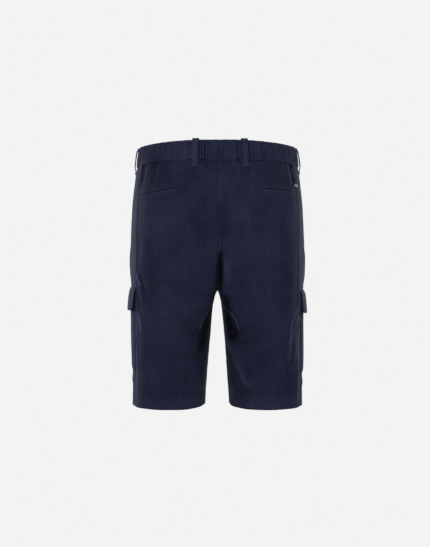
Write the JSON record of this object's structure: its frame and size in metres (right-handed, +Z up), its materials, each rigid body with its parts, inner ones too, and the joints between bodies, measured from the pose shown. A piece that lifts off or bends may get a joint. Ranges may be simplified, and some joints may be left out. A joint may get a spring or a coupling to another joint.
{
  "type": "cargo bermuda shorts",
  "caption": "Knee-length cotton shorts in worn form with an elastic gathered back waist, belt loops, back pockets and side cargo pockets with flaps.",
  "frame": {"origin": "centre of the waist opening, level with the waistband's top edge at the back, where the shorts are held when worn", "axes": "+Z up to the waist, +Y to the wearer's front, +X to the wearer's right"},
  "size_m": [0.3707, 0.2615, 0.5296],
  "materials": {
    "cloth": "matt dark navy cotton twill",
    "plaque": "dull dark metal",
    "button": "dark navy plastic"
  },
  "bodies": {
    "root": {"back_panel_left": "cloth", "back_panel_right": "cloth", "front_panel_left": "cloth", "front_panel_right": "cloth", "waistband_back": "cloth", "waistband_front_left": "cloth", "waistband_front_right": "cloth", "belt_loop_back_left": "cloth", "belt_loop_back_right": "cloth", "belt_loop_side_left": "cloth", "belt_loop_side_right": "cloth", "belt_loop_front_left": "cloth", "belt_loop_front_right": "cloth", "back_welt_left": "cloth", "back_welt_right": "cloth", "back_plaque": "plaque", "cargo_pocket_left": "cloth", "cargo_pocket_right": "cloth", "cargo_flap_left": "cloth", "cargo_flap_right": "cloth", "fly_placket": "cloth", "waist_button": "button"}
  },
  "joints": []
}
